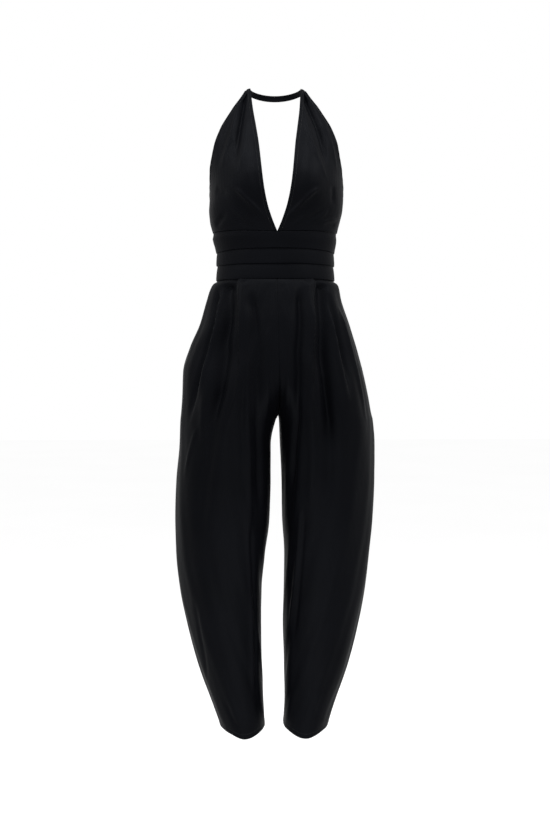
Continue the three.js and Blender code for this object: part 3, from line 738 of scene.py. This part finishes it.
TUCK_SECTION = table(
    "height lift",
    (0, 0),
    (-0.3, 0.45),
    (-0.62, 0.8),
    (-0.9, 1),
    (-1, 0.94),
)


# The rolled lower edge and the cloth behind it: how far inside the face, and how far above the edge.
TUCK_ROLL = ((0.5, 0), (1.3, 0), (1.9, 0.5), (2.05, 2.2), (2.1, 6), (2.1, 12))
TOP_TUCK = dict(gap=1.1, tucked_in=0.6, side_drop=3.4, half_width=120)


def tuck_piece(name, index):
    low = TUCK_EDGES[index]
    top = WAIST_TOP - TOP_TUCK["gap"] if index == 0 else TUCK_EDGES[index - 1] + TUCK_UNDERLAP
    count = 420
    start = 0.8 / 120
    turn = np.linspace(start, 2 * math.pi - start, count)[None, :]
    down = np.concatenate([np.linspace(0, 0.86, 15), [0.91, 0.95, 0.975, 0.99]])[:, None]
    height = mix(top, low, down) + 0 * turn
    lift = value_at(TUCK_SECTION, "lift", -down) * TUCK_LIFT
    if index == 0:
        lift = lift - TOP_TUCK["tucked_in"] * np.exp(-((down * (top - low) / 2) ** 2))
    along = turn * 125
    uneven = 0.22 * waves(along, height + 40 * index, PUCKER)
    uneven += 0.5 * waves(along, height * 0.3 + 90 * index, DRAPE[1:3])
    swell = 1.1 * np.sin(np.clip(down / 0.95, 0, 1) * math.pi) ** 2
    calm = smooth(down, 0.04, 0.3) * smooth(np.minimum(turn, 2 * math.pi - turn), 0.01, 0.08)
    points = ring_point(turn, height, lift + 0 * turn)
    face = normals(points, 1)
    points = points + face * ((swell * 0.35 + uneven * 0.55) * calm)[..., None]
    # The lower edge rolls under, and the doubled cloth runs back up behind.
    sway = 0.35 * np.sin(along / 47 + index) + 0.2 * np.sin(along / 19 + 2 * index)
    roll = []
    for inset, rise in TUCK_ROLL:
        edge = ring_point(turn, low + rise + 0 * turn, TUCK_LIFT * 0.94 - inset + 0 * turn)
        roll.append(edge)
    points = np.concatenate([points, *roll], 0)
    points[..., 2] += sway * smooth(points[..., 2], top, low + 4)
    if index == 0:
        lower = np.clip((top - points[..., 2]) / (top - low), 0, 1)
        points[..., 2] -= seam_sag(points) * (1 - smooth(lower, 0, 0.6))
        sideways = (points[..., 0] / TOP_TUCK["half_width"]) ** 4
        points[..., 2] -= TOP_TUCK["side_drop"] * sideways * smooth(lower, 0.4, 1)
    return cloth_piece(f"waist_tuck_cloth_{name}", points, 1, crepe, [f"waist_tuck_{name}"])


# Legs: front and back of one leg with its half of the hips, joined at the side seam.


def leg_point(side, face, across, height):
    key = "left" if side < 0 else "right"
    centre = value_at(TROUSERS, "centre", height)
    outer = value_at(TROUSERS, f"out_{key}", height) - side * centre
    lower = height < CROTCH
    inner = np.where(lower, value_at(TROUSERS, f"in_{key}", height) - side * centre, 0)
    turned = np.clip(1 - (height - CROTCH) / RISE_START, 0, 1)
    radius = np.where(lower, (outer - inner) / 2, outer / (1 + turned))
    middle = outer - radius
    if face == "back":
        inner = np.maximum(inner, ZIP_EDGE * smooth(height, ZIP_LOW, ZIP_LOW + 30))
    distance = mix(outer, inner, across)
    cosine = np.clip((distance - middle) / radius, -1, 1)
    power = np.where((cosine < 0) & (face == "front"), 2 + 0.45 * smooth(-cosine, 0, 0.4), 2)
    sine = (1 - np.abs(cosine) ** power) ** (1 / power)
    depth = value_at(TROUSERS, face, height) * sine * (-1 if face == "front" else 1)
    dip = 0
    if face == "front":
        spot = np.exp(-(((cosine - HEM_POINT["place"]) / HEM_POINT["breadth"]) ** 2))
        dip = HEM_POINT["dip"] * spot * (1 - smooth(height, HEM, HEM + HEM_POINT["fade"]))
    raised = HEM_POINT["rise"] * np.abs(cosine) ** 1.5
    dip = dip - raised * (1 - smooth(height, HEM, HEM + HEM_POINT["fade"] / 2))
    return np.stack([centre + side * distance, MIDDLE + depth, height - dip + 0 * distance], -1)


def softened(points, height):
    """The same grid with its depths smoothed down the leg round the crotch and above it."""
    for middle, reach, count in ((CROTCH + 8, 55, 7), (CROTCH + RISE_START, 45, 10)):
        padded = np.pad(points[..., 1], ((count, count), (0, 0)), mode="edge")
        weights = np.exp(-((np.arange(-count, count + 1) / (0.5 * count)) ** 2))
        weights /= weights.sum()
        blurred = sum(w * padded[i:i + len(points)] for i, w in enumerate(weights))
        share = np.exp(-(((height - middle) / reach) ** 4))
        points[..., 1] = mix(points[..., 1], blurred, share)
    return points


SIDE_COLUMNS = (0.0026, 0.0055, 0.009)
CLOSE_ROWS_TO = -412  # the rows are close together from the trousers' top down to here
HEM_STITCH = 9  # height of the hem's stitching above its edge
LEG_RELIEF = dict(folds=0.45, creases=1.2, pucker=0.14, side_seam=0.55, centre_seam=0.7)
# How far below the origin each kind of relief starts, and where it is full.
FADE_IN = dict(folds=(396, 445), creases=(397, 412), pleats=(392, 399), drape=(397, 425))
# The centre seam sinks in above the crotch, over these depths below the origin.
CENTRE_DIP = dict(depth=5, reach=9, start=(580, 655), end=(668, 705))
# The hem's turned edge: how far inside the face, and how far above the hem.
HEM_TURN = ((0.35, -0.35), (1.1, -0.45), (1.75, 0.1), (1.95, 2.5), (1.95, 9), (1.95, 20))
# The allowances of the centre seams and the inseam: how far inside the face, and how far apart.
SEAM_FINS = ((0.9, 0.05), (3.2, 0.12), (6.5, 0.12))


def leg_piece(name, side):
    top = np.linspace(TROUSER_TOP, CLOSE_ROWS_TO, 13)
    rest = mix(CLOSE_ROWS_TO, HEM, np.linspace(0, 1, 214) ** 1.08)[1:]
    down = np.concatenate([top, rest])
    front_share = np.concatenate([np.linspace(1, 0.02, 88), SIDE_COLUMNS[::-1], [0]])
    back_share = np.concatenate([SIDE_COLUMNS, np.linspace(0.02, 1, 70)])
    front_across = (1 - np.cos(math.pi * front_share)) / 2
    back_across = (1 - np.cos(math.pi * back_share)) / 2
    height = down[:, None]
    front = leg_point(side, "front", front_across[None, :], height)
    back = leg_point(side, "back", back_across[None, :], height)
    points = np.concatenate([front, back], 1)
    tall = np.broadcast_to(height, points.shape[:2])
    points = softened(points, tall)
    spot = np.concatenate([front_across, -back_across])[None, :] + 0 * tall
    facing = -side
    face = normals(points, facing)
    seam_column = len(front_across) - 1
    along = arc(points)
    along = along[:, seam_column:seam_column + 1] - along

    def place(h, where):
        row = int(np.argmin(np.abs(down - h)))
        return float(np.interp(where, spot[row, ::-1], along[row, ::-1]))

    breadth = value_at(TROUSERS, f"out_{name}", tall)
    held = LEG_RELIEF["folds"] * smooth(-tall, *FADE_IN["folds"])
    folds = fold_depth(FOLDS[name], spot, tall, breadth) * smooth(spot, 0, 0.04) * held
    middle_calm = smooth(np.minimum(along[:, :1] - along, along - along[:, -1:]), 0, 16)
    side_calm = 0.25 + 0.75 * smooth(np.abs(along), 0, 9)
    top_calm = smooth(-tall, *FADE_IN["drape"])
    hem_calm = 0.35 + 0.65 * smooth(tall, HEM, HEM + 35)
    calm = middle_calm * hem_calm
    creases = LEG_RELIEF["creases"] * crease_depth(along, tall, CREASES[name], place)
    depth = folds + creases * calm * side_calm * smooth(-tall, *FADE_IN["creases"])
    depth -= pleat_lift(along, tall, PLEAT_EDGES[name], place) * smooth(-tall, *FADE_IN["pleats"])
    phase = 60 if side < 0 else 0
    uneven = waves(along + phase, tall, DRAPE)
    uneven += LEG_RELIEF["pucker"] * waves(along + phase, tall, PUCKER)
    depth += uneven * calm * side_calm * top_calm
    depth += LEG_RELIEF["side_seam"] * np.exp(-((along / 1.3) ** 2))
    edge = np.minimum(np.abs(along[:, :1] - along), np.abs(along - along[:, -1:]))
    depth += LEG_RELIEF["centre_seam"] * np.exp(-((edge / 1.6) ** 2))
    hem_line = tall - HEM
    from_stitch = hem_line - HEM_STITCH
    depth += 0.4 * np.exp(-((from_stitch / 2.2) ** 2)) - 0.35 * (1 - smooth(hem_line, 5, 11))
    depth += 0.12 * np.sin(along / 3.4) * np.exp(-((from_stitch / 5) ** 2))
    points = points - face * depth[..., None]
    vee = smooth(-tall, *CENTRE_DIP["start"]) * (1 - smooth(-tall, *CENTRE_DIP["end"]))
    from_centre = (along[:, :1] - along) / CENTRE_DIP["reach"]
    points[..., 1] += CENTRE_DIP["depth"] * vee * np.exp(-(from_centre ** 2))

    # The hem turns up inside, and the centre seams and the inseam have their allowances inside.
    rows = [points]
    for inset, rise in HEM_TURN:
        row = int(np.argmin(np.abs(down - (HEM + max(rise, 0)))))
        level = points[row] if rise > 0 else points[-1] + np.array([0, 0, rise])
        rows.append((level - face[row] * inset)[None])
    points = np.concatenate(rows, 0)
    outward = np.concatenate([face] + [face[-1:]] * (len(rows) - 1), 0)
    fins = [[], []]
    for depth_in, apart in SEAM_FINS:
        for fin, column, way in ((fins[0], 0, -1), (fins[1], -1, 1)):
            shift = np.array([side * 0.1, way * apart, 0])
            fin.append((points[:, column] - outward[:, column] * depth_in + shift)[:, None])
    points = np.concatenate([*fins[0][::-1], points, *fins[1]], 1)
    points[..., 0] += side * 0.12
    replaced = [f"leg_front_{name}", f"leg_back_{name}"]
    piece = cloth_piece(f"leg_cloth_{name}", points, facing, crepe, replaced)
    hem_row = int(np.argmin(np.abs(down - (HEM + HEM_STITCH))))
    first = len(fins[0])
    count = len(front_across) + len(back_across)
    line = (points[hem_row, first + 1:first + count - 1], face[hem_row, 1:-1])
    return piece, [line]


# Neck strap: a narrow folded band round the back of the neck.
STRAP = dict(half_span=58.5, forward=2, reach=60, base=0.3, lift=6, nape=12, sides=62, half_turn=94)
# Half of its section: distance from the middle line, and how far inside the face.
STRAP_SECTION = ((-6.1, 1.5), (-6.5, 0.8), (-6.4, 0.1), (-5.4, 0.0), (-4.6, 0.25), (-2.3, -0.12), (0, -0.2))


def strap_piece():
    turn = np.radians(np.linspace(STRAP["half_turn"], -STRAP["half_turn"], 150))[None, :]
    half = [(across, -inset) for across, inset in STRAP_SECTION]
    full = half + [(-across, lift) for across, lift in half[-2::-1]]
    across = np.array([row[0] for row in full])[:, None]
    lift = np.array([row[1] for row in full])[:, None]
    tilt = np.radians(mix(STRAP["nape"], STRAP["sides"], np.sin(turn) ** 2))
    outward = np.stack([np.sin(turn), np.cos(turn), 0 * turn], -1)
    ends = 0.7 * smooth(np.abs(np.degrees(turn)), 87, 91)
    centre = np.stack([
        STRAP["half_span"] * np.sin(turn),
        MIDDLE + STRAP["forward"] + STRAP["reach"] * np.cos(turn),
        STRAP["base"] + STRAP["lift"] * np.sin(turn) ** 2 + ends,
    ], -1)
    upright = np.array([0, 0, -1.0])
    lie = outward * np.sin(tilt)[..., None] + upright * np.cos(tilt)[..., None]
    face = outward * np.cos(tilt)[..., None] - upright * np.sin(tilt)[..., None]
    ripple = 0.1 * np.sin(np.degrees(turn) / 3.1) * (np.abs(across) < 5)
    across = across * (1 - 0.5 * smooth(np.abs(np.degrees(turn)), 78, STRAP["half_turn"]))
    points = centre + lie * across[..., None] + face * (lift + ripple)[..., None]
    piece = cloth_piece("neck_strap_cloth", points, -1, crepe, ["neck_strap"], wall=0.7)
    front = np.broadcast_to(face, points.shape)
    lines = [(points[4, 3:-3], front[4, 3:-3]), (points[-5, 3:-3], front[-5, 3:-3])]
    return piece, lines


# Stitches: short threads laid end to end along a line on the cloth.


def stitches(name, lines, length=2.4, pitch=3.1, thick=0.26):
    sides = 5
    rings = ((0, 0.35), (0.18, 0.9), (0.5, 1), (0.82, 0.9), (1, 0.35))
    corners = []
    faces = []
    for path, face in lines:
        steps = np.linalg.norm(np.diff(path, axis=0), axis=1)
        reach = np.concatenate([[0], np.cumsum(steps)])
        starts = np.arange(1, reach[-1] - pitch, pitch)

        def at(distance):
            return np.array([np.interp(distance, reach, path[:, k]) for k in range(3)]).T

        def up_at(distance):
            return unit(np.array([np.interp(distance, reach, face[:, k]) for k in range(3)]).T)

        for start in starts:
            first = sum(len(block) for block in corners)
            where = np.array([start + share * length for share, _ in rings])
            spine = at(where)
            up = up_at(where)
            ahead = unit(spine[-1:] - spine[:1])
            aside = np.cross(ahead, up)
            bend = np.array([-0.12, 0.12, 0.2, 0.12, -0.12])[:, None]
            turn = np.arange(sides) * 2 * math.pi / sides
            radius = np.array([size for _, size in rings])[:, None, None] * thick
            ring = aside[:, None] * np.cos(turn)[None, :, None] + up[:, None] * np.sin(turn)[None, :, None]
            block = (spine + up * bend)[:, None] + ring * radius
            corners.append(block.reshape(-1, 3))
            for i in range(len(rings) - 1):
                for j in range(sides):
                    k = (j + 1) % sides
                    a = first + i * sides
                    faces.append((a + j, a + k, a + sides + k, a + sides + j))
            faces.append(tuple(first + j for j in range(sides))[::-1])
            faces.append(tuple(first + (len(rings) - 1) * sides + j for j in range(sides)))
    return named_piece(name, np.concatenate(corners), faces, thread)


# Zip: tapes, the coil that they carry, and the slider and pull from the solids.
ZIP_LINE = table(
    "height depth",
    (-297, 87.2),
    (-313, 83.8),
    (-334, 80.2),
    (-365, 79.8),
    (-396, 80.8),
    (-408, 88),
    (-436, 98.3),
    (-486, 113.2),
    (-520, 121.8),
)


TAPE_COLUMNS = (0.8, 1.6, 2.6, 4, 6, 8.5, 10.6, 11.8)
COIL_TOP = -307
COIL_PITCH = 0.85
COIL_BEHIND = 1.75  # how far the coil lies inside the zip's line
COIL_SIDES = 6
# A tooth of the coil in section: place across, and radius.
TOOTH = ((-0.9, 0.3), (-0.5, 0.5), (1.6, 0.42), (2.4, 0.2))


def zip_point(side, x, height):
    depth = value_at(ZIP_LINE, "depth", height) * np.sqrt(1 - (x / 130) ** 2)
    centre = value_at(TROUSERS, "centre", height)
    return np.stack([centre + side * x, MIDDLE + depth, height + 0 * x], -1)


def tape_piece(name, side):
    height = np.linspace(-297, ZIP_LOW, 120)[:, None]
    x = np.array(TAPE_COLUMNS)[None, :] + 0 * height
    points = zip_point(side, x, height + 0 * x)
    ridge = 0.3 * np.exp(-(((x - 2.6) / 0.8) ** 2)) + 0.06 * np.sin(height * 2.6)
    points[..., 1] -= 0.1 + ridge * (x > 1)
    piece = cloth_piece(
        f"zip_tape_cloth_{name}", points, side, tape_weave, [f"zip_tape_{name}"], wall=0.5
    )
    return piece


def coil_piece():
    """The zip's coil: rounded teeth in turn from both sides, behind the tapes' edges."""
    corners = []
    faces = []
    count = COIL_SIDES
    last_ring = (len(TOOTH) - 1) * count
    turn = np.arange(count) * 2 * math.pi / count
    for i, height in enumerate(np.arange(COIL_TOP, ZIP_LOW + 4, -COIL_PITCH)):
        side = 1 if i % 2 else -1
        first = len(TOOTH) * count * i
        for x, size in TOOTH:
            spot = zip_point(1, np.array(0.0), np.array(height))
            ring = np.stack([
                np.full(count, side * x) + spot[0],
                spot[1] - COIL_BEHIND + size * np.cos(turn) * 0.8,
                height + size * np.sin(turn) * 0.75,
            ], -1)
            corners.append(ring)
        for r in range(len(TOOTH) - 1):
            for j in range(count):
                k = (j + 1) % count
                a = first + count * r
                quad = (a + j, a + k, a + count + k, a + count + j)
                faces.append(quad if side > 0 else quad[::-1])
        ends = [tuple(first + ring_start + j for j in range(count)) for ring_start in (0, last_ring)]
        faces.append(ends[0][::-1] if side > 0 else ends[0])
        faces.append(ends[1] if side > 0 else ends[1][::-1])
    return named_piece("zip_coil", np.concatenate(corners), faces, tape_weave)


pieces = {}
lines = []
for name, side in (("left", -1), ("right", 1)):
    pieces[f"bodice_{name}"], seams = bodice_panel(name, side)
    lines += seams
    pieces[f"leg_{name}"], seams = leg_piece(name, side)
    lines += seams
    pieces[f"tape_{name}"] = tape_piece(name, side)
for index, name in enumerate(("top", "middle", "bottom")):
    pieces[f"tuck_{name}"] = tuck_piece(name, index)
pieces["strap"], seams = strap_piece()
lines += seams
stitches("topstitching", lines)
coil_piece()

for name in ("zip_slider", "zip_pull"):
    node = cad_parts[name]
    node.data.materials.clear()
    node.data.materials.append(enamel)
    soft = node.modifiers.new("soft_edges", "BEVEL")
    soft.width = 0.00018
    soft.segments = 2
    soft.limit_method = "ANGLE"
    soft.angle_limit = math.radians(50)


# Studio, in metres
FLOOR_LEVEL = -1.52
FLOOR_REACH = 14
# Each lamp's name, place, target, size and power in watts.
LAMPS = (
    ("over", (0, -0.5, 0.45), (0, -0.1, -0.25), 0.35, 5),
    ("left", (-0.9, -0.55, 0.5), (-0.08, -0.1, -0.2), 0.35, 8),
    ("right", (0.9, -0.55, 0.5), (0.08, -0.1, -0.2), 0.35, 8.5),
    ("low", (0, -1.0, -1.35), (0, 0, -1.2), 0.4, 3),
    ("behind", (0.2, 0.9, 0.5), (0, 0, -0.5), 0.5, 7),
)


def area_light(name, place, target, size, power):
    light = bpy.data.lights.new(name, "AREA")
    light.size = size
    light.energy = power
    lamp = bpy.data.objects.new(name, light)
    lamp.location = place
    aim = np.array(target) - np.array(place)
    yaw = math.atan2(aim[1], aim[0])
    pitch = math.atan2(aim[2], math.hypot(aim[0], aim[1]))
    lamp.rotation_euler = (math.pi / 2 + pitch, 0, yaw - math.pi / 2)
    bpy.context.scene.collection.objects.link(lamp)


def studio():
    floor = bpy.data.meshes.new("floor")
    signs = ((-1, -1), (1, -1), (1, 1), (-1, 1))
    corners = [(x * FLOOR_REACH, y * FLOOR_REACH, FLOOR_LEVEL) for x, y in signs]
    floor.from_pydata(corners, [], [(0, 1, 2, 3)])
    floor.materials.append(floor_material())
    ground = bpy.data.objects.new("floor", floor)
    bpy.context.scene.collection.objects.link(ground)
    world = bpy.data.worlds.new("studio")
    world.use_nodes = True
    background = world.node_tree.nodes["Background"]
    background.inputs["Color"].default_value = (1, 1, 1, 1)
    background.inputs["Strength"].default_value = 1
    bpy.context.scene.world = world
    for lamp in LAMPS:
        area_light(*lamp)
    bpy.context.scene.view_settings.view_transform = "Standard"


def camera():
    distance = 2.6
    height = -0.5821
    aside = -0.0008
    turn = math.radians(2.2)
    lens = bpy.data.cameras.new("camera")
    lens.sensor_width = 36
    lens.lens = 54.0
    lens.shift_y = -0.0515
    lens.dof.use_dof = False
    view = bpy.data.objects.new("camera", lens)
    view.location = (
        -distance * math.sin(turn) + aside,
        MIDDLE * MM - distance * math.cos(turn),
        height,
    )
    view.rotation_euler = (math.pi / 2, 0, -turn)
    bpy.context.scene.collection.objects.link(view)
    bpy.context.scene.camera = view


studio()
camera()
